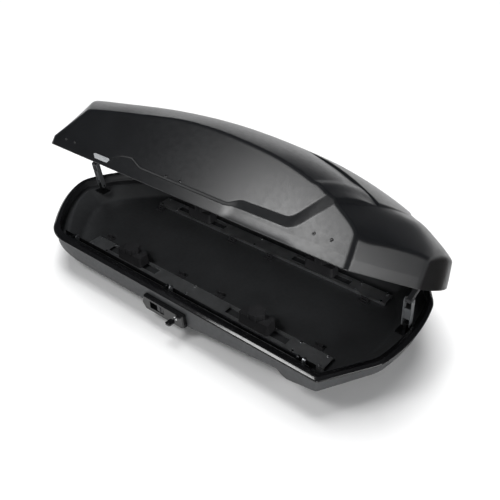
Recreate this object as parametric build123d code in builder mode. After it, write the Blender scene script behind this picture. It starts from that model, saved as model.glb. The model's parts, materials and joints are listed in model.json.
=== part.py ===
"""Roof cargo box: an open tray, a lid hinged on its far side, locks, lid lifters and bar clamps.

Frame: +X towards the nose, -Y is the side that stands open, +Y is the hinge side, +Z up.
The origin is the middle of the tray's flat underside. All sizes are in millimetres.
Pieces of the lid are drawn with the lid shut and are then turned open about the hinge axis.
"""
import math
import os

from build123d import *

os.makedirs("parts", exist_ok=True)

# Driving dimensions of the whole box.
LENGTH = 1918.0
WIDTH = 840.0
RIM_Z = 120.0
WALL = 3.2
LID_OPEN = 31.0
HINGE_INSET = 60.0
LID_OVERLAP = 8.0
LID_TALL = 330.0

HALF_LENGTH = LENGTH / 2
HALF_WIDTH = WIDTH / 2
HINGE_Y = HALF_WIDTH - HINGE_INSET
HINGE_AXIS = Axis((0, HINGE_Y, RIM_Z), (1, 0, 0))

# Plan of the tray: straight sides, cut corners at both ends, a bowed nose and a bowed tail.
TRAY_HALF = HALF_WIDTH - LID_OVERLAP
TRAY_PLAN = {
    "tail_corner": (-656, TRAY_HALF),
    "nose_corner": (760, TRAY_HALF),
    "nose_end": (890, 210),
    "nose_x": 916,
    "tail_end": (-881, 165),
    "tail_x": -951,
}
# Plans of the lid at its lower edge, at the crease above it, and high above the roof.
LID_LOW = {
    "tail_corner": (-668, HALF_WIDTH),
    "nose_corner": (768, HALF_WIDTH),
    "nose_end": (906, 209),
    "nose_x": HALF_LENGTH,
    "tail_end": (-886, 168),
    "tail_x": -HALF_LENGTH,
}
LID_CREASE = {
    "tail_corner": (-664, 418),
    "nose_corner": (764, 418),
    "nose_end": (900, 206),
    "nose_x": 954,
    "tail_end": (-881, 165),
    "tail_x": -954,
}
LID_HIGH = {
    "tail_corner": (-424, 355),
    "nose_corner": (714, 355),
    "nose_end": (839, 164),
    "nose_x": 908,
    "tail_end": (-794, 136),
    "tail_x": -886,
}
CREASE_Z = RIM_Z + 28

# Roof: position along the box, height of the ridge above the rim, fall from ridge to shoulder.
SHOULDER_Y = 380.0
MAIN_ROOF = [
    (-1000, 172, 106),
    (-800, 225, 103),
    (-600, 262, 96),
    (-400, 291, 82),
    (-200, 310, 70),
    (0, 318, 57),
    (200, 312, 52),
    (350, 297, 52),
    (480, 279, 56),
    (600, 250, 56),
    (770, 193, 56),
]
NOSE_ROOF = [
    (540, 255, 30),
    (700, 214, 71),
    (803, 183, 92),
    (851, 158, 92),
    (907, 120, 92),
    (938, 92, 92),
    (990, 24, 92),
]
HOOD_FRONT_X = 751.0
HOOD_SWEEP = 0.27

# Lower edge of the tray's skirt, seen from the side.
SKIRT_EDGE = [
    (-1000, 74), (-700, 52), (-632, 46), (-518, 22), (-84, 22), (-74, 2), (170, 6),
    (236, 16), (589, 53), (612, 34), (635, 28), (761, 50), (880, 60), (1000, 66),
]
SKIRT_INSET = 10.0
RIM_LIP = 14.0
RIM_PLATE = 5.0
RIM_SHELF = 30.0
BELLY_INSET = 112.0
BELLY_TOP = 84.0

# Latch rows, one along each side. The three stations are where the lid's pins sit.
STATIONS = (-558, 20, 652)
PIN_R = 5.0
PIN_GAP = 0.3
LATCH_TRAVEL = 18.0
RAIL_ENDS = (-640, 715)
LEVER_X = 15.0
BARREL_X = 118.0
LOCK_Z = 42.0
BARREL_R = 9.0

# Bar clamps and the channels that they run in.
RAIL_Y = 230.0
CLAMP_X = (-330, 370)

# Lid lifters: base pivot and lid pivot, measured from the hinge line's height.
LIFTER_X = (858, -850)
BASE_PIVOT = (40.0, RIM_Z - 15.3)
LID_PIVOT = (146.5, RIM_Z + 69.2)
LEVER_LONG = 122.6
ARM_LONG = 200.0


def finish(piece, label, on_lid=False):
    """Label a piece, turn it open if it belongs to the lid, and write it."""
    solid = piece.part
    if on_lid:
        solid = solid.rotate(HINGE_AXIS, -LID_OPEN)
    solid.label = label
    export_step(solid, f"parts/{label}.step")


def plan_face(plan, inset, height):
    """Closed outline of the box seen from above, as a sketch at one height."""
    tail, nose = plan["tail_corner"], plan["nose_corner"]
    nose_end, tail_end = plan["nose_end"], plan["tail_end"]
    with BuildSketch(Plane.XY.offset(height)) as sketch:
        with BuildLine():
            Polyline((tail[0], -tail[1]), (nose[0], -nose[1]), (nose_end[0], -nose_end[1]))
            ThreePointArc((nose_end[0], -nose_end[1]), (plan["nose_x"], 0), nose_end)
            Polyline(nose_end, nose, tail, tail_end)
            ThreePointArc(tail_end, (plan["tail_x"], 0), (tail_end[0], -tail_end[1]))
            Line((tail_end[0], -tail_end[1]), (tail[0], -tail[1]))
        make_face()
        if inset:
            offset(amount=-inset, kind=Kind.INTERSECTION, mode=Mode.REPLACE)
    return sketch.sketch


def roof_block(stations, drop):
    """Solid under a crowned roof: one arc across the box at each station, joined along it."""
    reach = HALF_WIDTH + 40
    with BuildPart() as block:
        for x, ridge, fall in stations:
            with BuildSketch(Plane(origin=(x, 0, 0), x_dir=(0, 1, 0), z_dir=(1, 0, 0))):
                top = RIM_Z + ridge - drop
                edge = top - fall * (reach / SHOULDER_Y) ** 2
                with BuildLine():
                    ThreePointArc((-reach, edge), (0, top), (reach, edge))
                    Polyline((reach, edge), (reach, -60), (-reach, -60), (-reach, edge))
                make_face()
        loft(ruled=True)
    return block.part


def lid_block(inset, low):
    """Solid lid: leaning side walls cut off by the roof. inset moves every face inwards."""
    high = RIM_Z + LID_TALL
    with BuildPart() as lid:
        loft([plan_face(LID_LOW, inset, low), plan_face(LID_CREASE, inset, CREASE_Z)], ruled=True)
        loft([plan_face(LID_CREASE, inset, CREASE_Z), plan_face(LID_HIGH, inset, high)], ruled=True)
        add(roof_with_hood(inset), mode=Mode.INTERSECT)
    return lid.part


def roof_with_hood(drop):
    """Main roof, cut off along an arrow-shaped line, over the lower roof of the nose."""
    reach = HALF_WIDTH + 80
    front_x = HOOD_FRONT_X - 4 * drop
    side_x = front_x - HOOD_SWEEP * reach
    with BuildPart() as roof:
        add(roof_block(MAIN_ROOF, drop))
        with BuildSketch(Plane.XY.offset(-80)):
            with BuildLine():
                Polyline((side_x, -reach), (front_x, 0), (side_x, reach), (1100, reach),
                         (1100, -reach), (side_x, -reach))
            make_face()
        extrude(amount=700, mode=Mode.SUBTRACT)
        add(roof_block(NOSE_ROOF, drop))
    return roof.part


def tray_block(inset, lift, top):
    """Solid tray: a skirt with a wavy lower edge round a flat-bottomed belly."""
    with BuildPart() as tray:
        extrude(plan_face(TRAY_PLAN, SKIRT_INSET + inset, lift), amount=top - lift)
        with BuildSketch(Plane.XZ.offset(-500)):
            with BuildLine():
                Polyline([(x, z + lift) for x, z in SKIRT_EDGE])
                Polyline((1000, SKIRT_EDGE[-1][1] + lift), (1000, -50), (-1000, -50),
                         (-1000, SKIRT_EDGE[0][1] + lift))
            make_face()
        extrude(amount=1000, mode=Mode.SUBTRACT)
        belly_low = plan_face(TRAY_PLAN, BELLY_INSET + inset, lift)
        belly_high = plan_face(TRAY_PLAN, SKIRT_INSET + 20 + inset, BELLY_TOP + lift)
        loft([belly_low, belly_high], ruled=True)
    return tray.part


def face_across(x):
    """Plane facing the nose at one place along the box: its own x runs across, its y up."""
    return Plane(origin=(x, 0, 0), x_dir=(0, 1, 0), z_dir=(1, 0, 0))


def block(low, high, mode=Mode.ADD):
    """Box between two opposite corners, added to the piece in hand."""
    size = [b - a for a, b in zip(low, high)]
    with Locations(tuple((a + b) / 2 for a, b in zip(low, high))):
        Box(*size, mode=mode)


def rod_along_y(x, z, radius, y_from, y_to, mode=Mode.ADD):
    """Round bar or hole that runs across the box."""
    with BuildSketch(Plane.XZ.offset(-y_from)) as round_face:
        with Locations((x, z)):
            Circle(radius)
    extrude(round_face.sketch, amount=-(y_to - y_from), mode=mode)


def rod_along_x(y, z, radius, x_from, x_to, mode=Mode.ADD):
    """Round bar or hole that runs along the box."""
    with BuildSketch(face_across(x_from)) as round_face:
        with Locations((y, z)):
            Circle(radius)
    extrude(round_face.sketch, amount=x_to - x_from, mode=mode)


def rod_along_z(x, y, radius, z_from, z_to, mode=Mode.ADD):
    """Round bar or hole that stands upright."""
    with BuildSketch(Plane.XY.offset(z_from)) as round_face:
        with Locations((x, y)):
            Circle(radius)
    extrude(round_face.sketch, amount=z_to - z_from, mode=mode)


# ---------------------------------------------------------------- tray
SKIRT_Y = TRAY_HALF - SKIRT_INSET
LINK_SLOT = (LEVER_X - 12, LEVER_X + 12 + LATCH_TRAVEL)
LINK_Z = (LOCK_Z - 8, LOCK_Z + 8)
CLAMP_SLOT = (300.0, 34.0)

with BuildPart() as base_shell:
    extrude(plan_face(TRAY_PLAN, 0, RIM_Z - RIM_LIP), amount=RIM_LIP)
    extrude(plan_face(TRAY_PLAN, RIM_PLATE, RIM_Z - RIM_LIP), amount=RIM_LIP - RIM_PLATE,
            mode=Mode.SUBTRACT)
    add(tray_block(0, 0, RIM_Z - RIM_PLATE))
    add(tray_block(WALL, WALL, RIM_Z - RIM_PLATE), mode=Mode.SUBTRACT)
    extrude(plan_face(TRAY_PLAN, RIM_SHELF, RIM_Z - RIM_PLATE), amount=RIM_PLATE, mode=Mode.SUBTRACT)
    for side in (-1, 1):
        for x in CLAMP_X:
            with Locations((x, side * RAIL_Y, 0)):
                Box(CLAMP_SLOT[0], CLAMP_SLOT[1], 20, mode=Mode.SUBTRACT)
        across = sorted((side * (SKIRT_Y - 8), side * (SKIRT_Y + 4)))
        block((LINK_SLOT[0], across[0], LINK_Z[0]), (LINK_SLOT[1], across[1], LINK_Z[1]),
              Mode.SUBTRACT)
        rod_along_y(BARREL_X, LOCK_Z, BARREL_R + 1, across[0], across[1], Mode.SUBTRACT)
finish(base_shell, "base_shell")

# Channels in the floor that the bar clamps run in.
RAIL_HALF = 34.0
RAIL_TALL = 12.0
for name, side in (("near", -1), ("far", 1)):
    middle = side * RAIL_Y
    with BuildPart() as floor_rail:
        block((-600, middle - RAIL_HALF, WALL), (700, middle + RAIL_HALF, WALL + RAIL_TALL))
        block((-600, middle - RAIL_HALF + 10, WALL), (700, middle + RAIL_HALF - 10, WALL + RAIL_TALL - 2),
              Mode.SUBTRACT)
        for x in CLAMP_X:
            with Locations((x, middle, WALL + RAIL_TALL)):
                Box(CLAMP_SLOT[0], CLAMP_SLOT[1], 30, mode=Mode.SUBTRACT)
    finish(floor_rail, f"{name}_floor_rail")

with BuildPart() as lashing_eyes:
    for x in (-560, -90, 130, 620):
        for side in (-1, 1):
            middle = side * 170.0
            block((x - 22, middle - 14, WALL), (x + 22, middle + 14, WALL + 4))
            block((x - 16, middle - 3, WALL + 4), (x + 16, middle + 3, WALL + 22))
            block((x - 10, middle - 4, WALL + 8), (x + 10, middle + 4, WALL + 16), Mode.SUBTRACT)
finish(lashing_eyes, "lashing_eyes")

with BuildPart() as rail_rivets:
    for side in (-1, 1):
        for x in (-580, -480, 20, 560, 680):
            for edge in (-RAIL_HALF + 5, RAIL_HALF - 5):
                rod_along_z(x, side * RAIL_Y + edge, 5, WALL + RAIL_TALL, WALL + RAIL_TALL + 2.5)
finish(rail_rivets, "rail_rivets")

# ---------------------------------------------------------------- latch rows
CHANNEL_LOW = 84.0
CHANNEL_TALL = 26.0
for name, side in (("near", -1), ("far", 1)):
    line = side * HINGE_Y

    def across(a, b, centre=line, sign=side):
        """Two distances outwards from the pin line, as low and high Y."""
        return sorted((centre + sign * a, centre + sign * b))

    with BuildPart() as latch_rail:
        walls = across(-14, 14)
        block((RAIL_ENDS[0], walls[0], CHANNEL_LOW),
              (RAIL_ENDS[1], walls[1], CHANNEL_LOW + CHANNEL_TALL))
        hollow = across(-12, 12)
        block((RAIL_ENDS[0], hollow[0], CHANNEL_LOW + 2),
              (RAIL_ENDS[1], hollow[1], CHANNEL_LOW + CHANNEL_TALL), Mode.SUBTRACT)
        ear = across(14, SKIRT_Y - WALL - HINGE_Y)
        block((RAIL_ENDS[0], ear[0], RIM_Z - RIM_PLATE - 3),
              (RAIL_ENDS[1], ear[1], RIM_Z - RIM_PLATE))
        web = across(12, 14)
        block((RAIL_ENDS[0], web[0], CHANNEL_LOW + CHANNEL_TALL),
              (RAIL_ENDS[1], web[1], RIM_Z - RIM_PLATE))
        for x in STATIONS:
            cradle = across(-12, 12)
            block((x - 10, cradle[0], 104), (x - 2, cradle[1], 117))
            rod_along_x(line, RIM_Z, PIN_R + PIN_GAP, x - 11, x - 1, Mode.SUBTRACT)
            block((x - 11, line - PIN_R - PIN_GAP, RIM_Z), (x - 1, line + PIN_R + PIN_GAP, RIM_Z + 9),
                  Mode.SUBTRACT)
        notch = across(8, 20)
        block((LINK_SLOT[0] - 4, notch[0], CHANNEL_LOW + 3), (LINK_SLOT[1] + 4, notch[1], 106),
              Mode.SUBTRACT)
    finish(latch_rail, f"{name}_latch_rail")

    # The near row is drawn back, so that the lid is free; the far row holds the lid's pins.
    drawn = LATCH_TRAVEL if side < 0 else 0.0
    with BuildPart() as push_rod:
        block((RAIL_ENDS[0] + 20 + drawn, line - 4, 90), (RAIL_ENDS[1] - 40 + drawn, line + 4, 99))
        foot = across(4, SKIRT_Y - WALL - HINGE_Y - 2)
        block((LEVER_X - 10 + drawn, foot[0], 90), (LEVER_X + 10 + drawn, foot[1], 98))
        drop_leg = across(SKIRT_Y - WALL - HINGE_Y - 6, SKIRT_Y - WALL - HINGE_Y - 2)
        block((LEVER_X - 10 + drawn, drop_leg[0], LOCK_Z - 6), (LEVER_X + 10 + drawn, drop_leg[1], 98))
    finish(push_rod, f"{name}_push_rod")

    with BuildPart() as hooks:
        for x in STATIONS:
            start = x + 2 + drawn
            rod_along_x(line, RIM_Z, 11, start, start + 6)
            block((start, line - 6, 99), (start + 6, line + 6, 112))
            rod_along_x(line, RIM_Z, PIN_R + PIN_GAP, start - 1, start + 7, Mode.SUBTRACT)
    finish(hooks, f"{name}_hooks")

    # Lock housing on the outside of the skirt, with its sliding lever and its barrel.
    plate_out = SKIRT_Y + 20
    with BuildPart() as lock_housing:
        with BuildSketch(Plane.XZ.offset(-side * SKIRT_Y)):
            with BuildLine():
                Polyline((-70, 34), (-58, 72), (156, 70), (162, 14), (150, 6), (-50, 5), (-70, 34))
            make_face()
        extrude(amount=-side * 20)
        chamfer(lock_housing.faces().sort_by(Axis.Y)[0 if side < 0 else -1].edges(), 5)
        pocket = sorted((side * (plate_out - 15), side * (plate_out + 1)))
        block((LEVER_X - 36, pocket[0], LOCK_Z - 16), (LEVER_X + 40, pocket[1], LOCK_Z + 16),
              Mode.SUBTRACT)
        inner = sorted((side * (SKIRT_Y - 1), side * (plate_out - 14)))
        block((LINK_SLOT[0], inner[0], LINK_Z[0]), (LINK_SLOT[1], inner[1], LINK_Z[1]), Mode.SUBTRACT)
        bore = sorted((side * (SKIRT_Y - 1), side * (plate_out + 1)))
        rod_along_y(BARREL_X, LOCK_Z, BARREL_R + 0.05, bore[0], bore[1], Mode.SUBTRACT)
    finish(lock_housing, f"{name}_lock_housing")

    with BuildPart() as slide_lever:
        grip = sorted((side * (plate_out - 14.5), side * (plate_out - 3)))
        block((LEVER_X - 16 + drawn, grip[0], LOCK_Z - 13), (LEVER_X + 16 + drawn, grip[1], LOCK_Z + 13))
        with Locations((LEVER_X + drawn, side * (plate_out - 2), LOCK_Z)):
            Box(6, 6, 24)
        stem = sorted((side * (SKIRT_Y - WALL - 2), side * (plate_out - 14.5)))
        block((LEVER_X - 9 + drawn, stem[0], LOCK_Z - 5), (LEVER_X + 9 + drawn, stem[1], LOCK_Z + 5))
    finish(slide_lever, f"{name}_slide_lever")

    with BuildPart() as lock_barrel:
        reach = sorted((side * (SKIRT_Y - 12), side * (plate_out - 1)))
        rod_along_y(BARREL_X, LOCK_Z, BARREL_R, reach[0], reach[1])
        slot = sorted((side * (SKIRT_Y - 6), side * plate_out))
        block((BARREL_X - 4.6, slot[0], LOCK_Z - 1.4), (BARREL_X + 4.6, slot[1], LOCK_Z + 1.4),
              Mode.SUBTRACT)
        cam = sorted((side * (SKIRT_Y - 16), side * (SKIRT_Y - 12)))
        block((BARREL_X - 6, cam[0], LOCK_Z - 6), (BARREL_X + 6, cam[1], LOCK_Z + 24))
    finish(lock_barrel, f"{name}_lock_barrel")

KEY_FACE = -(SKIRT_Y + 20)
with BuildPart() as key_blade:
    block((BARREL_X - 4, KEY_FACE - 12, LOCK_Z - 1), (BARREL_X + 4, KEY_FACE + 22, LOCK_Z + 1))
    for step in range(4):
        with Locations((BARREL_X + 4, KEY_FACE + 4 + 4.5 * step, LOCK_Z)):
            Box(2.4, 1.6, 4, mode=Mode.SUBTRACT)
finish(key_blade, "key_blade")

with BuildPart() as key_head:
    with BuildSketch(Plane.XY.offset(LOCK_Z - 3.5)):
        with Locations((BARREL_X, KEY_FACE - 28)):
            RectangleRounded(26, 34, 8)
    extrude(amount=7)
    block((BARREL_X - 4.05, KEY_FACE - 30, LOCK_Z - 1.05), (BARREL_X + 4.05, KEY_FACE - 10, LOCK_Z + 1.05),
          Mode.SUBTRACT)
    rod_along_z(BARREL_X, KEY_FACE - 38, 3, LOCK_Z - 4, LOCK_Z + 4, Mode.SUBTRACT)
finish(key_head, "key_head")

# ---------------------------------------------------------------- lid
# Blocks of the lid's outside and inside form, that make its wall and trim what is fixed to it.
LID_OUT = lid_block(0, RIM_Z - LID_OVERLAP)
LID_IN = lid_block(WALL, RIM_Z - LID_OVERLAP - 5)

with BuildPart() as lid_shell:
    add(LID_OUT)
    add(LID_IN, mode=Mode.SUBTRACT)
finish(lid_shell, "lid_shell", on_lid=True)

HOOP_THICK = 6.0
LINER_OUT = lid_block(WALL + 0.3, RIM_Z - 20)
LINER_IN = lid_block(WALL + HOOP_THICK, RIM_Z - 30)
for name, x in (("tail", -420), ("middle", 20), ("nose", 440)):
    with BuildPart() as stiffener:
        block((x - 32, -HALF_WIDTH, RIM_Z + 150), (x + 32, HALF_WIDTH, RIM_Z + LID_TALL))
        add(LINER_OUT, mode=Mode.INTERSECT)
        add(LINER_IN, mode=Mode.SUBTRACT)
    finish(stiffener, f"{name}_lid_stiffener", on_lid=True)

# Brackets that carry the lid's pins, riveted inside its side walls over spacers.
RIVET_Z = 50.0
RIVET_STEP = 30.0
RIVET_R = 5.0
SPACER_R = 7.0
SPACER_LONG = 4.5
CREASE_Y = LID_CREASE["nose_corner"][1]
LEAN = (CREASE_Y - LID_HIGH["nose_corner"][1]) / (LID_TALL - (CREASE_Z - RIM_Z))


def wall_y(height):
    """Outer face of the lid's side wall at a height above the rim."""
    return CREASE_Y - LEAN * (height - (CREASE_Z - RIM_Z))


# End view of a bracket: the arm stays above the rim when its side of the lid swings down.
BRACKET_ARM = [(wall_y(62), 62), (wall_y(39), 39), (HINGE_Y + 16, 14), (HINGE_Y + 9, 4),
               (HINGE_Y + 7, -8), (HINGE_Y - 7, -8), (HINGE_Y - 9, 4), (HINGE_Y - 2, 22)]
BRACKET_IN = WALL + SPACER_LONG
BRACKET_OUT = lid_block(BRACKET_IN, RIM_Z - 20)
BRACKET_PLATE = [(wall_y(27) - BRACKET_IN - 4, 27), (wall_y(27), 27), (wall_y(70), 70),
                 (wall_y(70) - BRACKET_IN - 4, 70)]

for name, side in (("near", -1), ("far", 1)):
    with BuildPart() as pin_brackets:
        for x in STATIONS:
            with BuildSketch(face_across(x - 48)):
                with BuildLine():
                    Polyline(*[(side * y, RIM_Z + z) for y, z in BRACKET_PLATE], close=True)
                make_face()
            extrude(amount=96)
            with BuildSketch(face_across(x - 16)):
                with BuildLine():
                    Polyline(*[(side * y, RIM_Z + z) for y, z in BRACKET_ARM], close=True)
                make_face()
            extrude(amount=4)
        add(BRACKET_OUT, mode=Mode.INTERSECT)
    finish(pin_brackets, f"{name}_pin_brackets", on_lid=True)

    with BuildPart() as lid_pins:
        for x in STATIONS:
            rod_along_x(side * HINGE_Y, RIM_Z, PIN_R, x - 12, x + 14)
    finish(lid_pins, f"{name}_lid_pins", on_lid=True)

    face_y = wall_y(RIVET_Z)
    rivet_xs = [x + shift for x in STATIONS for shift in (-RIVET_STEP, RIVET_STEP)]
    with BuildPart() as spacers:
        for x in rivet_xs:
            ends = sorted((side * (face_y - 24), side * (face_y + 2)))
            rod_along_y(x, RIM_Z + RIVET_Z, SPACER_R, ends[0], ends[1])
        add(LID_IN, mode=Mode.INTERSECT)
        add(BRACKET_OUT, mode=Mode.SUBTRACT)

    with BuildPart() as lid_rivets:
        for x in rivet_xs:
            ends = sorted((side * (face_y - 4), side * (face_y + 2.6)))
            rod_along_y(x, RIM_Z + RIVET_Z, RIVET_R, ends[0], ends[1])
        add(LID_OUT, mode=Mode.SUBTRACT)
        add(spacers.part)
    finish(lid_rivets, f"{name}_lid_rivets", on_lid=True)

    with BuildPart() as badge:
        with BuildSketch(Plane.XZ.offset(-side * (wall_y(18) - 6))):
            with BuildLine():
                Polyline((-405, RIM_Z + 8), (-398, RIM_Z + 28), (-314, RIM_Z + 28),
                         (-326, RIM_Z + 8), close=True)
            make_face()
        extrude(amount=-side * 8.5)
        add(LID_OUT, mode=Mode.SUBTRACT)
    finish(badge, f"{name}_badge", on_lid=True)

# ---------------------------------------------------------------- lid lifters


def elbow_point(base, top, first, second):
    """Joint between two links of known length, on the side nearer the open edge."""
    dy, dz = top[0] - base[0], top[1] - base[1]
    span = math.hypot(dy, dz)
    along = (first * first - second * second + span * span) / (2 * span)
    off = math.sqrt(first * first - along * along)
    return (base[0] + (along * dy - off * dz) / span, base[1] + (along * dz + off * dy) / span)


def opened_point(point):
    """Where a point of the shut lid's end view goes when the lid stands open."""
    turn = math.radians(LID_OPEN)
    dy, dz = point[0] - HINGE_Y, point[1] - RIM_Z
    return (HINGE_Y + dy * math.cos(turn) + dz * math.sin(turn),
            RIM_Z - dy * math.sin(turn) + dz * math.cos(turn))


LID_PIVOT_OPEN = opened_point(LID_PIVOT)
ELBOW = elbow_point(BASE_PIVOT, LID_PIVOT_OPEN, LEVER_LONG, ARM_LONG)
FORK = 17.0
EYE_R = 9.5

# Height of the tray's ledge under each lifter.
NOSE_LEDGE = 66.0
TAIL_LEDGE = 68.0


def link_plate(x, start, stop, radius, thick):
    """Flat link with round ends between two points of the end view."""
    middle = ((start[0] + stop[0]) / 2, (start[1] + stop[1]) / 2)
    run = math.dist(start, stop)
    turn = math.degrees(math.atan2(stop[1] - start[1], stop[0] - start[0]))
    with BuildSketch(face_across(x)) as link_face:
        with Locations(Location((*middle, 0), (0, 0, turn))):
            SlotCenterToCenter(run, 2 * radius)
    extrude(link_face.sketch, amount=thick)


for name, x in zip(("nose", "tail"), LIFTER_X):
    with BuildPart() as lifter_base:
        floor = NOSE_LEDGE if x > 0 else TAIL_LEDGE
        block((x - 30, BASE_PIVOT[0] - 24, floor), (x + 30, BASE_PIVOT[0] + 24, floor + 4))
        block((x - 5, BASE_PIVOT[0] - 12, floor + 4), (x + 5, BASE_PIVOT[0] + 12, BASE_PIVOT[1] + 10))
        rod_along_x(BASE_PIVOT[0], BASE_PIVOT[1], 4, x - FORK - 4, x + FORK + 4)
    finish(lifter_base, f"{name}_lifter_base")

    with BuildPart() as lifter_lever:
        for left in (x - FORK, x + FORK - 3):
            link_plate(left, BASE_PIVOT, ELBOW, 11, 3)
        rod_along_x(BASE_PIVOT[0], BASE_PIVOT[1], 4.05, x - FORK - 1, x + FORK + 1, Mode.SUBTRACT)
        part_way = [BASE_PIVOT[i] + 0.24 * (ELBOW[i] - BASE_PIVOT[i]) for i in (0, 1)]
        most_way = [BASE_PIVOT[i] + 0.62 * (ELBOW[i] - BASE_PIVOT[i]) for i in (0, 1)]
        link_plate(x - FORK, part_way, most_way, 4, 2 * FORK)
        rod_along_x(ELBOW[0], ELBOW[1], 4, x - FORK - 2, x + FORK + 2)
    finish(lifter_lever, f"{name}_lifter_lever")

    with BuildPart() as lifter_arm:
        link_plate(x - 9, ELBOW, LID_PIVOT_OPEN, 10, 18)
        rod_along_x(LID_PIVOT_OPEN[0], LID_PIVOT_OPEN[1], EYE_R + 4, x - 9, x + 9)
        rod_along_x(ELBOW[0], ELBOW[1], 4.05, x - 10, x + 10, Mode.SUBTRACT)
        rod_along_x(LID_PIVOT_OPEN[0], LID_PIVOT_OPEN[1], EYE_R, x - 10, x + 10, Mode.SUBTRACT)
    finish(lifter_arm, f"{name}_lifter_arm")

    with BuildPart() as lifter_bracket:
        rod_along_x(LID_PIVOT[0], LID_PIVOT[1], 3.5, x - 20, x + 20)
        for left in (x - 16, x + 12):
            block((left, LID_PIVOT[0] - 12, LID_PIVOT[1] - 10),
                  (left + 4, LID_PIVOT[0] + 12, RIM_Z + LID_TALL))
        add(LINER_OUT, mode=Mode.INTERSECT)
    finish(lifter_bracket, f"{name}_lifter_bracket", on_lid=True)

# ---------------------------------------------------------------- bar clamps
JAW_X = 46.0
JAW_PIVOT_Z = 34.0
HOUSING_LOW = WALL + RAIL_TALL + 2.8
HOUSING_TALL = 46.0
for number, (x, side) in enumerate([(x, s) for x in CLAMP_X for s in (-1, 1)], start=1):
    y = side * RAIL_Y
    top = HOUSING_LOW + HOUSING_TALL
    with BuildPart() as clamp_housing:
        with BuildSketch(Plane.XY.offset(HOUSING_LOW)):
            with Locations((x, y)):
                RectangleRounded(150, 62, 14)
        extrude(amount=HOUSING_TALL, taper=5)
        block((x - 64, y - 17, HOUSING_LOW - 1), (x + 64, y + 17, HOUSING_LOW + 34), Mode.SUBTRACT)
        rod_along_z(x, y, 6.3, HOUSING_LOW, top + 1, Mode.SUBTRACT)
        for pivot in (x - JAW_X, x + JAW_X):
            rod_along_y(pivot, JAW_PIVOT_Z, 4, y - 19, y + 19)
    finish(clamp_housing, f"clamp_housing_{number}")

    with BuildPart() as clamp_knob:
        with BuildSketch(Plane.XY.offset(top + 0.5)):
            with Locations((x, y)):
                Circle(32)
                with PolarLocations(31, 6):
                    Circle(7)
        extrude(amount=24)
        rod_along_z(x, y, 6, top, top + 16, Mode.SUBTRACT)
    finish(clamp_knob, f"clamp_knob_{number}")

    with BuildPart() as clamp_spindle:
        rod_along_z(x, y, 6, HOUSING_LOW + 4, top + 16)
    finish(clamp_spindle, f"clamp_spindle_{number}")

    for place, turn in (("tail", -1), ("nose", 1)):
        with BuildPart() as clamp_jaw:
            pivot = x + turn * JAW_X
            with BuildSketch(Plane.XZ.offset(-(y - 13))):
                with BuildLine():
                    Polyline(*[(pivot + turn * dx, z) for dx, z in (
                        (-9, 42), (7, 42), (10, 20), (12, -42), (6, -50), (-22, -50), (-24, -40),
                        (-2, -38), (-4, 20))], close=True)
                make_face()
            extrude(amount=-26)
            rod_along_y(pivot, JAW_PIVOT_Z, 4.05, y - 14, y + 14, Mode.SUBTRACT)
        finish(clamp_jaw, f"clamp_{place}_jaw_{number}")
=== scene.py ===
"""Looks of the roof cargo box: the moulded lid and tray, the trim, the metalwork and the studio."""

import json
import math

import bmesh
import bpy
import numpy as np
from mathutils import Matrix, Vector


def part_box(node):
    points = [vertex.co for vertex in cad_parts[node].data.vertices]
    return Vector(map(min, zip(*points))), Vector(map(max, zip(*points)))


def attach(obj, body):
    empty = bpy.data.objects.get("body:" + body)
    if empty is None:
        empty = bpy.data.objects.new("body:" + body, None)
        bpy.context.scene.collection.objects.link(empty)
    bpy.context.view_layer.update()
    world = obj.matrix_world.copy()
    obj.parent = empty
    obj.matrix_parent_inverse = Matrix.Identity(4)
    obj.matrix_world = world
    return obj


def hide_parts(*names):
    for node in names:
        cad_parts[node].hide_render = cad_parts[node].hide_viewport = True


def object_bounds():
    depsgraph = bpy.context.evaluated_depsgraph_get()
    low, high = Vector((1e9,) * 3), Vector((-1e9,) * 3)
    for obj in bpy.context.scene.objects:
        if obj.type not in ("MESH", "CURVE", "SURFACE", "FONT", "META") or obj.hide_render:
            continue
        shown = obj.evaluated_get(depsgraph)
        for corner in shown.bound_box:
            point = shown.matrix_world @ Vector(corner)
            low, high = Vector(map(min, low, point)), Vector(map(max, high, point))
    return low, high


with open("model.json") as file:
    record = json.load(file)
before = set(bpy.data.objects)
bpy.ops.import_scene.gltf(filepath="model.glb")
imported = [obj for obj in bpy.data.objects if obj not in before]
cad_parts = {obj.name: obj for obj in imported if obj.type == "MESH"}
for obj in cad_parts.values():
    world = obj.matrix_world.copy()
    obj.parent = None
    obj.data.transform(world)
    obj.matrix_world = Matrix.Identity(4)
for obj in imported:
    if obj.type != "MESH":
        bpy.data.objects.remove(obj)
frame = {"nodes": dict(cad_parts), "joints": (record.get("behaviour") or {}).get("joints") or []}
cad_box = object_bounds()

# Lengths in the shape code are millimetres. The lid is shaped shut and then swung to its open rest.
MM = 0.001
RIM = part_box("base_shell")[1].z / MM
OPEN = math.radians(31)
HINGE = [v / MM for v in next(j for j in frame["joints"] if j["name"] == "lid_hinge")["pos_m"]]
SKIN = 3.2

# The spine that every ray of the moulded shells starts from, the step between rays along it,
# and the step in degrees round its ends.
SPINE_TAIL = -480.0
SPINE_NOSE = 560.0
STEP_ALONG = 4.5
STEP_TURN = 0.58

# How often a search between an inside and an outside point is halved.
HALVINGS = 26


# ---------------------------------------------------------------- shape tools
def smooth_max(a, b, radius):
    """Larger of two distances to a surface, with the edge where they meet rounded."""
    near = np.maximum(radius - np.abs(a - b), 0.0) / radius
    return np.maximum(a, b) + near * near * radius * 0.25


def smooth_min(a, b, radius):
    """Smaller of two distances, with the corner where they meet filled."""
    return -smooth_max(-a, -b, radius)


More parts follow.
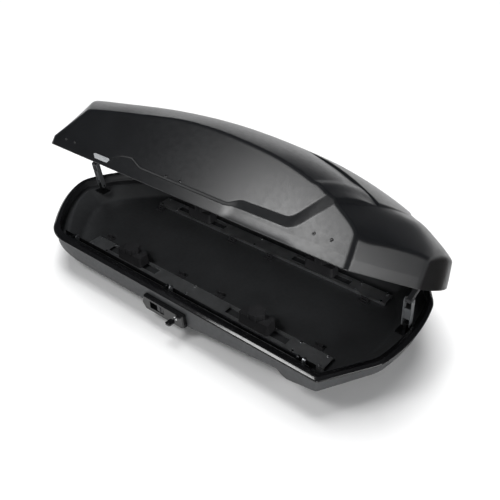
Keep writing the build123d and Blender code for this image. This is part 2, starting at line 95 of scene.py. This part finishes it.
def curve(points):
    """Smooth curve through a few points, as a function of the first coordinate."""
    xs, ys = np.array(points, float).T
    slopes = np.gradient(ys, xs)

    def at(x):
        x = np.clip(x, xs[0], xs[-1])
        i = np.clip(np.searchsorted(xs, x) - 1, 0, len(xs) - 2)
        gap = xs[i + 1] - xs[i]
        t = (x - xs[i]) / gap
        rise = ys[i] * (1 + 2 * t) * (1 - t) ** 2 + ys[i + 1] * t * t * (3 - 2 * t)
        return rise + gap * t * (1 - t) * (slopes[i] * (1 - t) - slopes[i + 1] * t)

    return at


def rounded_line(points, blur):
    """Broken line with its corners rounded over a length."""
    xs, ys = np.array(points, float).T

    shifts = np.linspace(-blur, blur, 7)

    def at(x):
        return sum(np.interp(x + s, xs, ys) for s in shifts) / len(shifts)

    return at


def ease(x, low, high):
    """0 below low, 1 above high, smooth between."""
    t = np.clip((x - low) / (high - low), 0, 1)
    return t * t * (3 - 2 * t)


def rays():
    """Start points on the spine and directions in plan, once round the box."""
    count = round((SPINE_NOSE - SPINE_TAIL) / STEP_ALONG)
    along, step = np.linspace(SPINE_TAIL, SPINE_NOSE, count, endpoint=False, retstep=True)
    turn = np.radians(np.arange(0, 180, STEP_TURN))
    near = [(x, 0.0, -1.0) for x in along]
    nose = [(SPINE_NOSE, math.sin(t), -math.cos(t)) for t in turn]
    far = [(x, 0.0, 1.0) for x in along[::-1] + step]
    tail = [(SPINE_TAIL, -math.sin(t), math.cos(t)) for t in turn]
    start, dx, dy = np.array(near + nose + far + tail).T
    return start[:, None], dx[:, None], dy[:, None]


def cast(level, start, dx, dy, rise, base, depth, reach=1200.0):
    """Where rays from the spine meet the surface at a depth under the skin. rise is their slope."""
    low = np.zeros(np.broadcast(dx, rise).shape)
    high = low + reach
    flat, up = np.cos(rise), np.sin(rise)
    for _ in range(HALVINGS):
        t = (low + high) / 2
        outside = level(start + dx * flat * t, dy * flat * t, base + up * t) > -depth
        high = np.where(outside, t, high)
        low = np.where(outside, low, t)
    t = (low + high) / 2
    return np.stack([start + dx * flat * t, dy * flat * t, base + up * t + 0 * dx], axis=-1)


def swing_open(points):
    """Turn points of the shut lid to where they are at rest, with the lid standing open."""
    out = np.array(points, float)
    y, z = out[..., 1] - HINGE[1], out[..., 2] - HINGE[2]
    out[..., 1] = HINGE[1] + y * math.cos(OPEN) + z * math.sin(OPEN)
    out[..., 2] = HINGE[2] - y * math.sin(OPEN) + z * math.cos(OPEN)
    return out


def swing_shut(points):
    """Turn points of the lid at rest back to where they are when it is shut."""
    out = np.array(points, float)
    y, z = out[..., 1] - HINGE[1], out[..., 2] - HINGE[2]
    out[..., 1] = HINGE[1] + y * math.cos(OPEN) - z * math.sin(OPEN)
    out[..., 2] = HINGE[2] + y * math.sin(OPEN) + z * math.cos(OPEN)
    return out


def mesh_object(name, verts, faces, weld=0.0, smooth=True):
    """Object from points in millimetres, with smooth faces that point outwards."""
    mesh = bpy.data.meshes.new(name)
    mesh.from_pydata([tuple(v) for v in np.asarray(verts) * MM], [], faces)
    bm = bmesh.new()
    bm.from_mesh(mesh)
    if weld:
        bmesh.ops.remove_doubles(bm, verts=bm.verts, dist=weld * MM)
        bmesh.ops.dissolve_degenerate(bm, edges=bm.edges, dist=0.02 * MM)
    bmesh.ops.recalc_face_normals(bm, faces=bm.faces)
    bm.to_mesh(mesh)
    bm.free()
    mesh.polygons.foreach_set("use_smooth", [smooth] * len(mesh.polygons))
    obj = bpy.data.objects.new(name, mesh)
    bpy.context.scene.collection.objects.link(obj)
    return obj


def ring_faces(around, up, close_up=False):
    """Four-sided faces of a grid that is closed round the box."""
    faces = []
    for i in range(around):
        j = (i + 1) % around
        for k in range(up if close_up else up - 1):
            m = (k + 1) % up
            faces.append((i * up + k, j * up + k, j * up + m, i * up + m))
    return faces


# ---------------------------------------------------------------- lid form, shut, heights above the rim
LID_LOW = -8.0

# The walls lean out up to a fold, then in. A lean is the inset for each millimetre of height.
FOLD = 28.0
SIDE_Y = 415.0
SIDE_LEAN = 0.2086
SIDE_FLARE = 5 / 36

# The panel on each side stands proud of the wall, and the step under it goes back in.
PROUD = 5.0
PROUD_SETTLE = 22.0
STEP_DEPTH = 8.4
STEP_DEEPEST = 12.5

# Facet between the side and the front of the nose, as a plane in x and |y|.
FACET_X = 0.836
FACET_Y = 0.548
FACET_AT = 865.3
FACET_LEAN = 0.2477
FACET_FLARE = 0.19

# Front of the nose, bowed in plan.
FRONT_X = 940.0
FRONT_LEAN = 0.16
FRONT_FLARE = 0.14
FRONT_BOW = 1720.0

# Tail, bowed in plan by a power of y. Above the fold all its sizes change over one rise.
TAIL_X = -663.6
TAIL_BOW = 290.0
TAIL_HALF = 418.0
TAIL_POWER = 1.58
TAIL_RISE = 302.0
TAIL_FLARE = 36.0

ridge_line = curve([(-960, 196), (-790, 233), (-615, 260), (-294, 303), (0, 318), (215, 310),
                    (431, 288), (624, 243), (760, 197)])
roof_fall = curve([(-960, 104), (-507, 88), (-311, 82), (-45, 60), (82, 54), (325, 51), (620, 56)])
nose_line = curve([(-960, 0), (300, 120), (540, 248), (701, 213), (754, 198), (803, 184), (851, 158),
                   (907, 121), (932, 97), (950, 66), (975, 0)])
nose_fall = curve([(400, 14), (700, 14), (803, 30), (980, 30)])

# Lower edge of the proud upper panel on each side, and the foot of the step under it.
step_top = rounded_line([(-340, 24), (-313, 28), (-264, 57), (-210, 65), (-181, 54), (-152, 43),
                         (274, 43), (284, 46), (327, 71), (515, 77), (537, 90), (611, 189),
                         (700, 308)], 9)
step_foot = rounded_line([(-340, 20), (-313, 23), (-264, 51), (-210, 59), (-181, 47), (-152, 36),
                          (274, 33), (286, 38), (523, 41), (554, 56), (646, 167), (700, 232)], 9)
step_depth = rounded_line([(-330, 0), (-300, 4), (-100, 5), (150, 7), (270, 8), (300, STEP_DEEPEST),
                            (530, STEP_DEEPEST), (600, STEP_DEPTH)], 12)

# Arrow-shaped front edge of the main roof, over the lower roof of the nose.
HOOD_X = 751.0
HOOD_SWEEP = 0.27

# Valley on each side of the roof's middle, which opens into a V towards the hood.
VALLEY_TAIL = 234.0
VALLEY_SPREAD = 0.4
VALLEY_DEEP = 8.0
VALLEY_WIDE = 70.0
VALLEY_EDGE = 16.0

# Straps that stiffen the lid: place, half width, height that their rays start from, thickness,
# and gap under the skin.
HOOPS = {"tail_lid_stiffener": -420.0, "middle_lid_stiffener": 20.0, "nose_lid_stiffener": 440.0}
HOOP_HALF = 32.0
HOOP_FOOT = 150.0
HOOP_THICK = 5.0
HOOP_GAP = 1.6

# Rivets of the pin brackets on each side face: place along the box and height. Then the rivet's
# profile from the dimple in its head to the end of its shank, as radius and lift off the skin.
RIVET_PROFILE = [(0.01, 1.0), (1.1, 1.1), (1.8, 2.4), (3.9, 2.2), (5.6, 1.3), (6.3, 0.2), (6.3, -1.5),
                 (4.4, -1.5), (4.4, -9.5)]
RIVETS = [(-585, 34), (-531, 36), (-15, 47), (54, 49), (620, 57), (684, 59)]


def side_y(x, z):
    """Half width of the lid's side at a height, with the proud panel and the step."""
    plane = np.where(z > FOLD, SIDE_Y - SIDE_LEAN * (z - FOLD), SIDE_Y + SIDE_FLARE * (FOLD - z))
    top, foot, depth = step_top(x), step_foot(x), step_depth(x)
    down = np.clip((top - z) / (top - foot), 0, 1)
    settle = 1 - np.exp(-np.maximum(z - LID_LOW, 0) / PROUD_SETTLE)
    return plane + (PROUD - depth * down) * settle


def tail_x(y, z):
    """Tail of the lid, a bowed wall that leans in above the fold, with its bow and half width."""
    rise = np.maximum(z - FOLD, 0) / TAIL_RISE
    drop = np.maximum(FOLD - z, 0) / TAIL_FLARE
    corner = TAIL_X + 240 * rise - 4 * drop
    bow = TAIL_BOW + 105 * rise + drop
    half = TAIL_HALF - 63 * rise + 2 * drop
    return corner - bow * (1 - (np.abs(y) / half) ** TAIL_POWER), bow, half


def nose_roof(x, y):
    """Height of the roof ahead of the hood: a crowned middle between two flat facets."""
    middle = nose_line(x) - nose_fall(x) * (y / 190) ** 2
    facet = 168 - 0.504 * (x - 648) + 0.2915 * (385 - np.abs(y))
    return smooth_min(middle, facet, 12)


def main_roof(x, y):
    """Height of the crowned roof, with the valley that widens towards the hood."""
    beside = np.abs(y) - VALLEY_SPREAD * (x - VALLEY_TAIL)
    dip = np.where(beside > 0, np.exp(-(np.maximum(beside, 0) / VALLEY_WIDE) ** 1.3),
                   np.clip(1 + beside / VALLEY_EDGE, 0, 1) ** 2)
    return ridge_line(x) - roof_fall(x) * (y / 380) ** 2 - VALLEY_DEEP * dip * ease(x, 240, 430)


def lid_level(x, y, z):
    """Rough distance outside the lid's skin, negative inside."""
    a = np.abs(y)
    side = (a - side_y(x, z)) * 0.978
    above, below = np.maximum(z - FOLD, 0), np.maximum(FOLD - z, 0)
    facet = (FACET_X * x + FACET_Y * a - FACET_AT + FACET_LEAN * above - FACET_FLARE * below) / 1.03
    front = x - FRONT_X + FRONT_LEAN * above - FRONT_FLARE * below + y * y / FRONT_BOW
    edge, bow, half = tail_x(y, z)
    slope = bow * TAIL_POWER / half * (a / half) ** (TAIL_POWER - 1)
    tail = (edge - x) / np.sqrt(1.3 + slope * slope)
    walls = smooth_max(side, facet, 10)
    walls = smooth_max(walls, front, 6)
    walls = smooth_max(walls, tail, 12)
    roof = (z - main_roof(x, y)) * 0.95
    line = HOOD_X - HOOD_SWEEP * np.sqrt(y * y + 900)
    brow = (x - line + 0.9 * (z - nose_roof(x, y))) / 1.345
    nose = (z - nose_roof(x, y)) * 0.88
    return smooth_max(walls, smooth_min(smooth_max(roof, brow, 5), nose, 3), 8)


def side_points(side, x, z, lift):
    """Points on a side face of the shut lid, lifted off it, at real heights."""
    x, z, lift = np.broadcast_arrays(np.array(x, float), np.array(z, float), np.array(lift, float))

    def reach(height):
        low, high = np.full(x.shape, 250.0), np.full(x.shape, 430.0)
        for _ in range(HALVINGS):
            middle = (low + high) / 2
            outside = lid_level(x, middle, height) > 0
            high = np.where(outside, middle, high)
            low = np.where(outside, low, middle)
        return low

    lean = (reach(z - 3) - reach(z + 3)) / 6
    size = np.sqrt(1 + lean * lean)
    return np.stack([x, side * (reach(z) + lift / size), z + lift * lean / size + RIM], axis=-1)


def make_rivets(name, side):
    """Rivets of the pin brackets: a domed head with a dimple, and a shank through the wall and spacer."""
    radius, lift = np.array(RIVET_PROFILE).T
    turn = np.linspace(0, 2 * np.pi, 20, endpoint=False)[:, None]
    verts, faces = [], []
    for x, z in RIVETS:
        head = side_points(side, x + radius * np.cos(turn), z + radius * np.sin(turn), lift + 0 * turn)
        first = len(verts)
        verts += list(head.reshape(-1, 3))
        faces += [tuple(first + i for i in face) for face in ring_faces(*head.shape[:2])]
        faces.append(tuple(first + i * len(radius) for i in range(len(turn))))
        faces.append(tuple(first + i * len(radius) + len(radius) - 1 for i in range(len(turn))))
    return mesh_object(name, swing_open(verts), faces)


def make_badge(name, side):
    """Blank plate with a raised border, on the side of the lid near its tail."""
    corners = np.array([(-405, 22), (-395, 27), (-318, 27), (-312, 22), (-322, 8), (-391, 8)], float)
    middle = corners.mean(0)
    scales_and_lifts = [(1.0, -1.0), (1.0, 1.0), (0.97, 1.7), (0.9, 1.7), (0.86, 0.9)]
    loops = []
    for scale, lift in scales_and_lifts:
        outline = middle + (corners - middle) * (scale, 1 - 2.2 * (1 - scale))
        loops.append(side_points(side, outline[:, 0], outline[:, 1], lift))
    plate = np.stack(loops, axis=1)
    around, up = plate.shape[:2]
    faces = ring_faces(around, up)
    faces.append(tuple(i * up for i in range(around)))
    faces.append(tuple(i * up + up - 1 for i in range(around)))
    return mesh_object(name, swing_open(plate.reshape(-1, 3)), faces, smooth=False)


def make_hoop(name, x):
    """Bent strap that stiffens the lid from inside, following its skin."""
    turn = np.radians(np.linspace(1, 179, 150))[None, :]
    places = np.array([[x - HOOP_HALF], [x + HOOP_HALF]])
    sign = np.where(turn < np.pi / 2, 1.0, -1.0)
    rise = np.minimum(turn, np.pi - turn)
    over = cast(lid_level, places, 0 * places, sign, rise, HOOP_FOOT, SKIN + HOOP_GAP)
    under = cast(lid_level, places, 0 * places, sign, rise, HOOP_FOOT, SKIN + HOOP_GAP + HOOP_THICK)
    strap = np.stack([over[0], over[1], under[1], under[0]], axis=1)
    strap[..., 2] += RIM
    count = strap.shape[0]
    faces = [(4 * i + k, 4 * i + 4 + k, 4 * i + 4 + (k + 1) % 4, 4 * i + (k + 1) % 4)
             for i in range(count - 1) for k in range(4)]
    faces += [(0, 1, 2, 3), tuple(4 * count - 4 + k for k in range(4))]
    return mesh_object(name, swing_open(strap.reshape(-1, 3)), faces, smooth=False)


def make_bracket(name, node):
    """Lifter bracket with the CAD's shape, lowered where it would reach the moulded roof."""
    source = frame["nodes"][node].data
    shut = swing_shut(np.array([tuple(v.co) for v in source.vertices]) / MM)
    low, high = shut[:, 2] - 150, shut[:, 2].copy()
    for _ in range(24):
        middle = (low + high) / 2
        outside = lid_level(shut[:, 0], shut[:, 1], middle - RIM) > -SKIN
        high = np.where(outside, middle, high)
        low = np.where(outside, low, middle)
    shut[:, 2] = low
    return mesh_object(name, swing_open(shut), [tuple(p.vertices) for p in source.polygons],
                       weld=0.01, smooth=False)


def make_lid():
    """The lid's skin, outside and inside, as one closed piece, with more rows on its walls."""
    start, dx, dy = rays()
    wall_rows = np.linspace(0, 36, 96)
    roof_rows = np.linspace(36, 90, 96)
    outside_rise = np.radians(np.concatenate([wall_rows, roof_rows[1:]]))[None, :]
    inside_rise = np.radians(np.linspace(90, 0, 30))[None, :]
    outside = cast(lid_level, start, dx, dy, outside_rise, LID_LOW, 0)
    inside = cast(lid_level, start, dx, dy, inside_rise, LID_LOW, SKIN)
    shell = np.concatenate([inside, outside], axis=1)
    shell[..., 2] += RIM
    around, up = shell.shape[:2]
    return mesh_object("lid_skin", swing_open(shell).reshape(-1, 3), ring_faces(around, up), weld=0.3)


# ---------------------------------------------------------------- tray form, real heights
TRAY_HALF = 412.0
TRAY_FACET_X = 0.841
TRAY_FACET_Y = 0.541
TRAY_FACET_AT = 862.1
TRAY_FRONT_X = 916.0
TRAY_TAIL_X = -656.0
TRAY_TAIL_BOW = 295.0
TRAY_TAIL_POWER = 1.57

# Insets from the tray's outline: the middle of the floor, the foot of the belly and its top edge.
# The belly slopes all the way between the last two.
FLOOR_IN = 200.0
BELLY_IN = 112.0
BELLY_TOP_IN = 30.0
BELLY_TALL = 84.0

# Lower edge of the skirt along the box.
skirt_edge = rounded_line([(-1000, 74), (-700, 52), (-632, 46), (-518, 22), (-84, 22), (-74, 3),
                           (170, 6), (236, 16), (589, 53), (612, 34), (635, 28), (761, 50), (880, 60),
                           (1000, 66)], 7)


def tray_level(x, y, z):
    """Rough distance outside the tray's outline in plan, negative inside."""
    a = np.abs(y)
    side = a - TRAY_HALF + 0 * x
    facet = TRAY_FACET_X * x + TRAY_FACET_Y * a - TRAY_FACET_AT
    front = (x - TRAY_FRONT_X + y * y / FRONT_BOW) * 0.98
    share = a / TRAY_HALF
    bow = TRAY_TAIL_BOW * (1 - share ** TRAY_TAIL_POWER)
    slope = TRAY_TAIL_BOW * TRAY_TAIL_POWER / TRAY_HALF * share ** (TRAY_TAIL_POWER - 1)
    tail = (TRAY_TAIL_X - bow - x) / np.sqrt(1 + slope * slope)
    level = smooth_max(side, facet, 7)
    level = smooth_max(level, front, 10)
    return smooth_max(level, tail, 60)


def rounded_profile(corners, bend=5):
    """Profile of inset and height per ray, with each inner corner rounded by its own radius."""
    rows = []
    for i, (inset, height, radius) in enumerate(corners):
        if i in (0, len(corners) - 1) or not radius:
            rows.append((inset, height))
            continue
        here = np.array([inset, height])
        ends = []
        for other in (corners[i - 1], corners[i + 1]):
            to = np.array([other[0], other[1]]) - here
            length = np.maximum(np.sqrt((to ** 2).sum(0)), 0.01)
            ends.append(here + to * np.minimum(radius / length, 0.48))
        for t in np.linspace(0, 1, bend):
            rows.append(tuple(ends[0] * (1 - t) ** 2 + 2 * here * t * (1 - t) + ends[1] * t * t))
    return rows


def tray_points(inset, height):
    """Points of the tray once round the box, at an inset from its outline and at real heights."""
    start, dx, dy = rays()
    points = cast(tray_level, start, dx, dy, np.zeros((1, 1)), 0.0, inset[:, None])[:, 0]
    points[:, 2] = height
    return points


def carry_round(name, corners, reach_spine=False):
    """Piece made by carrying a profile of (inset, height, radius) round the tray's outline.

    The profile closes on itself, or both its ends run in to the spine.
    """
    spine_x = rays()[0][:, 0]
    level = 0 * spine_x
    full = [(inset + level, height + level, radius) for inset, height, radius in corners]
    columns = [tray_points(inset, height) for inset, height in rounded_profile(full)]
    if reach_spine:
        ends = [np.stack([spine_x, level, column[:, 2]], axis=1) for column in (columns[0], columns[-1])]
        columns = [ends[0], *columns, ends[1]]
    grid = np.stack(columns, axis=1)
    around, up = grid.shape[:2]
    faces = ring_faces(around, up, close_up=not reach_spine)
    return mesh_object(name, grid.reshape(-1, 3), faces, weld=0.2)


def belly_inset(height):
    """Inset of the tray's sloping belly at a height."""
    return BELLY_IN - (BELLY_IN - BELLY_TOP_IN) * height / BELLY_TALL


def make_tray():
    """The tray's skin: inside, over to the skirt, and underneath."""
    wall_x = tray_points(np.full(len(rays()[0]), 10.0), 0.0)[:, 0]
    skirt = skirt_edge(wall_x)
    corners = [
        (FLOOR_IN, SKIN, 0), (BELLY_IN + SKIN, SKIN, 14),
        (belly_inset(skirt) + SKIN, skirt + SKIN, 8), (14.2, skirt + SKIN, 6),
        (13.2, 114.8, 0), (10.0, 114.8, 0), (10.4, 100, 0), (12.6, skirt, 5),
        (belly_inset(skirt), skirt, 8), (BELLY_IN, 0, 16), (FLOOR_IN, 0, 0),
    ]
    return carry_round("tray_skin", corners, reach_spine=True)


def make_rim():
    """Gloss rim: a rounded band that caps the tray's edge."""
    corners = [(30, 115.2, 0), (30, 118, 1.5), (22, 119.6, 4), (12.5, 119.8, 3), (1.6, 112, 3),
               (0, 108.5, 2), (0, 106, 2), (3.5, 103.5, 3), (10.2, 104.5, 0), (10.2, 115, 0)]
    return carry_round("tray_rim", corners)


# ---------------------------------------------------------------- materials
def material(name):
    """Empty node material with its shader and output."""
    mat = bpy.data.materials.new(name)
    mat.use_nodes = True
    tree = mat.node_tree
    return mat, tree, tree.nodes["Principled BSDF"]


def add_noise(tree, scale, detail=4.0, stretch=(1, 1, 1)):
    """Noise in the object's own metres."""
    place = tree.nodes.new("ShaderNodeTexCoord")
    mapping = tree.nodes.new("ShaderNodeMapping")
    mapping.inputs["Scale"].default_value = stretch
    tree.links.new(place.outputs["Object"], mapping.inputs["Vector"])
    noise = tree.nodes.new("ShaderNodeTexNoise")
    noise.inputs["Scale"].default_value = scale
    noise.inputs["Detail"].default_value = detail
    tree.links.new(mapping.outputs["Vector"], noise.inputs["Vector"])
    return noise.outputs["Fac"]


def spread(tree, value, low, high):
    """Map a noise of about 0.3 to 0.7 to a range."""
    node = tree.nodes.new("ShaderNodeMapRange")
    node.inputs["From Min"].default_value = 0.3
    node.inputs["From Max"].default_value = 0.7
    node.inputs["To Min"].default_value = low
    node.inputs["To Max"].default_value = high
    tree.links.new(value, node.inputs["Value"])
    return node.outputs["Result"]


def tint(tree, value, dark, light):
    """Colour between two shades."""
    ramp = tree.nodes.new("ShaderNodeValToRGB")
    ramp.color_ramp.elements[0].position = 0.3
    ramp.color_ramp.elements[0].color = (*dark, 1)
    ramp.color_ramp.elements[1].position = 0.7
    ramp.color_ramp.elements[1].color = (*light, 1)
    tree.links.new(value, ramp.inputs["Fac"])
    return ramp.outputs["Color"]


def bump(tree, shader, value, depth):
    """Bump whose depth is in metres."""
    node = tree.nodes.new("ShaderNodeBump")
    node.inputs["Distance"].default_value = depth
    node.inputs["Strength"].default_value = 1.0
    tree.links.new(value, node.inputs["Height"])
    tree.links.new(node.outputs["Normal"], shader.inputs["Normal"])


def plastic(name, dark, light, rough, grain, depth):
    """Moulded plastic: pebbled grain, cloudy shade and slightly uneven sheen."""
    mat, tree, shader = material(name)
    cloud = add_noise(tree, 7)
    tree.links.new(tint(tree, cloud, dark, light), shader.inputs["Base Color"])
    scuff = add_noise(tree, 60, 6)
    tree.links.new(spread(tree, scuff, rough[0], rough[1]), shader.inputs["Roughness"])
    shader.inputs["Specular IOR Level"].default_value = 0.5
    bump(tree, shader, add_noise(tree, 1 / grain, 3), depth)
    return mat


def metal(name, dark, light, rough, stretch):
    """Metal with a drawn or brushed direction."""
    mat, tree, shader = material(name)
    shader.inputs["Metallic"].default_value = 1.0
    tree.links.new(tint(tree, add_noise(tree, 20), dark, light), shader.inputs["Base Color"])
    brushed = add_noise(tree, 500, 3, stretch)
    tree.links.new(spread(tree, brushed, rough[0], rough[1]), shader.inputs["Roughness"])
    bump(tree, shader, brushed, 0.00002)
    return mat


LID_BLACK = plastic("lid_black", (0.005, 0.0053, 0.006), (0.007, 0.0074, 0.0083), (0.29, 0.34),
                    0.0013, 0.00003)
TRAY_GREY = plastic("tray_grey", (0.03, 0.031, 0.033), (0.038, 0.04, 0.042), (0.5, 0.62), 0.0014, 0.0001)
GLOSS_BLACK = plastic("gloss_black", (0.004, 0.004, 0.0045), (0.007, 0.007, 0.0075), (0.12, 0.2),
                      0.02, 0.00003)
NYLON = plastic("black_nylon", (0.024, 0.024, 0.026), (0.036, 0.036, 0.038), (0.45, 0.6), 0.0008, 0.00008)
LEVER_GREY = plastic("lever_grey", (0.1, 0.105, 0.11), (0.14, 0.145, 0.15), (0.4, 0.5), 0.001, 0.00006)
ZINC = metal("zinc", (0.28, 0.29, 0.3), (0.42, 0.43, 0.44), (0.28, 0.42), (0.08, 1, 1))
ALUMINIUM = metal("aluminium", (0.42, 0.43, 0.44), (0.54, 0.55, 0.56), (0.42, 0.56), (0.02, 1, 1))
DARK_STEEL = metal("dark_steel", (0.05, 0.052, 0.055), (0.09, 0.092, 0.095), (0.35, 0.5), (0.08, 1, 1))
SILVER = plastic("silver", (0.26, 0.27, 0.28), (0.36, 0.37, 0.38), (0.25, 0.35), 0.002, 0.00002)
BRIGHT = metal("bright", (0.62, 0.63, 0.64), (0.8, 0.8, 0.8), (0.12, 0.24), (1, 1, 0.1))

# Finish of every CAD node whose name holds the word; a later word wins.
FINISHES = {
    "latch_rail": DARK_STEEL, "push_rod": ZINC, "hooks": ZINC, "floor_rail": ALUMINIUM,
    "rail_rivets": BRIGHT, "lock_housing": GLOSS_BLACK, "slide_lever": NYLON, "lock_barrel": BRIGHT,
    "key_blade": BRIGHT, "key_head": GLOSS_BLACK, "lashing_eyes": NYLON, "stiffener": ALUMINIUM,
    "pin_brackets": DARK_STEEL, "lid_pins": ZINC, "lid_rivets": BRIGHT, "badge": BRIGHT,
    "lifter_base": DARK_STEEL, "lifter_lever": LEVER_GREY, "lifter_arm": NYLON, "lifter_bracket": DARK_STEEL,
    "clamp_housing": NYLON, "clamp_knob": NYLON, "clamp_spindle": ZINC, "jaw": NYLON,
}


def dress(obj, mat):
    """One material over a whole object."""
    obj.data.materials.clear()
    obj.data.materials.append(mat)


def place(piece, mat, body, node, slot):
    """Dress a piece, hang it on the body it moves with and hide the CAD node it stands for. The slot is not
    used.
    """
    dress(piece, mat)
    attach(piece, body)
    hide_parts(node)


for node, obj in frame["nodes"].items():
    for word, mat in FINISHES.items():
        if word in node:
            dress(obj, mat)

place(make_lid(), LID_BLACK, "lid", "lid_shell", "lid_plastic")
place(make_tray(), TRAY_GREY, "base", "base_shell", "tray_plastic")
place(make_rim(), GLOSS_BLACK, "base", "base_shell", "gloss_black")

for node in ("nose_lifter_bracket", "tail_lifter_bracket"):
    place(make_bracket(node.replace("bracket", "hanger"), node), DARK_STEEL, "lid", node, "zinc_steel")

for node, x in HOOPS.items():
    place(make_hoop(node.replace("stiffener", "strap"), x), ALUMINIUM, "lid", node, "aluminium")

for name, side in (("near", -1), ("far", 1)):
    rivets = make_rivets(f"{name}_rivet_heads", side)
    place(rivets, GLOSS_BLACK, "lid", f"{name}_lid_rivets", "gloss_black")
    badge = make_badge(f"{name}_blank_badge", side)
    place(badge, SILVER, "lid", f"{name}_badge", "bright_metal")


# ---------------------------------------------------------------- studio
# Metres. The camera turns round its target, from a viewing angle in degrees.
FLOOR_Z = cad_box[0].z - 0.0005
FLOOR_SIZE = 60
AZIMUTH = 38.44
ELEVATION = 34.93
TARGET = (0.1253, 0.0363, 0.120)
DISTANCE = 2.561
LENS = 42.96


def make_floor():
    """Plain pale floor."""
    bm = bmesh.new()
    bmesh.ops.create_grid(bm, x_segments=2, y_segments=2, size=FLOOR_SIZE)
    mesh = bpy.data.meshes.new("floor")
    bm.to_mesh(mesh)
    bm.free()
    floor = bpy.data.objects.new("floor", mesh)
    floor.location = (0, 0, FLOOR_Z)
    bpy.context.scene.collection.objects.link(floor)
    mat, tree, shader = material("floor_pale")
    tree.links.new(tint(tree, add_noise(tree, 3), (0.86, 0.86, 0.86), (0.88, 0.88, 0.88)),
                   shader.inputs["Base Color"])
    shader.inputs["Roughness"].default_value = 0.9
    shader.inputs["Specular IOR Level"].default_value = 0.1
    dress(floor, mat)


def make_flag():
    """Dark card on the floor ahead of the nose, seen only in reflections."""
    corners = [(1.0, 0.1), (3.4, 0.1), (3.4, 3.0), (1.0, 3.0)]
    mesh = bpy.data.meshes.new("flag")
    mesh.from_pydata([(x, y, FLOOR_Z + 0.002) for x, y in corners], [], [(0, 1, 2, 3)])
    flag = bpy.data.objects.new("flag", mesh)
    bpy.context.scene.collection.objects.link(flag)
    mat, tree, shader = material("flag_black")
    tree.links.new(tint(tree, add_noise(tree, 3), (0.02, 0.018, 0.015), (0.024, 0.02, 0.017)),
                   shader.inputs["Base Color"])
    shader.inputs["Roughness"].default_value = 0.9
    dress(flag, mat)
    flag.visible_camera = flag.visible_diffuse = flag.visible_shadow = False


def softbox(name, at, aim, size, watts):
    """Rectangular soft light."""
    data = bpy.data.lights.new(name, "AREA")
    data.shape = "RECTANGLE"
    data.size, data.size_y = size
    data.energy = watts
    lamp = bpy.data.objects.new(name, data)
    lamp.location = at
    lamp.rotation_mode = "QUATERNION"
    lamp.rotation_quaternion = (Vector(aim) - Vector(at)).to_track_quat("-Z", "Y")
    bpy.context.scene.collection.objects.link(lamp)


def make_world():
    """Soft grey surroundings, dark near the horizon."""
    world = bpy.data.worlds.new("studio")
    world.use_nodes = True
    tree = world.node_tree
    place = tree.nodes.new("ShaderNodeTexCoord")
    split = tree.nodes.new("ShaderNodeSeparateXYZ")
    tree.links.new(place.outputs["Generated"], split.inputs["Vector"])
    ramp = tree.nodes.new("ShaderNodeValToRGB")
    ramp.color_ramp.elements[0].position = 0.6
    ramp.color_ramp.elements[0].color = (0.03, 0.032, 0.036, 1)
    ramp.color_ramp.elements[1].position = 0.95
    ramp.color_ramp.elements[1].color = (0.14, 0.145, 0.15, 1)
    tree.links.new(split.outputs["Z"], ramp.inputs["Fac"])
    tree.links.new(ramp.outputs["Color"], tree.nodes["Background"].inputs["Color"])
    bpy.context.scene.world = world


def sunlight(towards, strength, spread):
    """Broad light from far away, left out of reflections."""
    data = bpy.data.lights.new("broad", "SUN")
    data.energy = strength
    data.angle = math.radians(spread)
    lamp = bpy.data.objects.new("broad", data)
    lamp.rotation_mode = "QUATERNION"
    lamp.rotation_quaternion = Vector(towards).to_track_quat("-Z", "Y")
    lamp.visible_glossy = False
    bpy.context.scene.collection.objects.link(lamp)


def make_camera():
    """Camera at the photograph's angle."""
    azimuth, elevation = math.radians(AZIMUTH), math.radians(ELEVATION)
    back = Vector((math.sin(azimuth) * math.cos(elevation), -math.cos(azimuth) * math.cos(elevation),
                   math.sin(elevation)))
    data = bpy.data.cameras.new("camera")
    data.sensor_width = 36
    data.lens = LENS
    camera = bpy.data.objects.new("camera", data)
    camera.location = Vector(TARGET) + back * DISTANCE
    camera.rotation_mode = "QUATERNION"
    camera.rotation_quaternion = (-back).to_track_quat("-Z", "Y")
    bpy.context.scene.collection.objects.link(camera)
    bpy.context.scene.camera = camera


make_floor()
make_flag()
make_world()
sunlight((0.25, -0.32, -0.9), 3.9, 45)
softbox("side", (-0.45, -1.66, 1.95), (0.4, -0.267, 0.562), (0.85, 0.66), 23)
softbox("nose", (3.3, -0.3, 1.05), (0.85, -0.25, 0.25), (1.1, 0.8), 20)
softbox("fill", (2.4, -3.0, 1.0), (0.1, 0.0, 0.1), (1.2, 1.0), 45)
bpy.context.scene.view_settings.view_transform = "Standard"
make_camera()
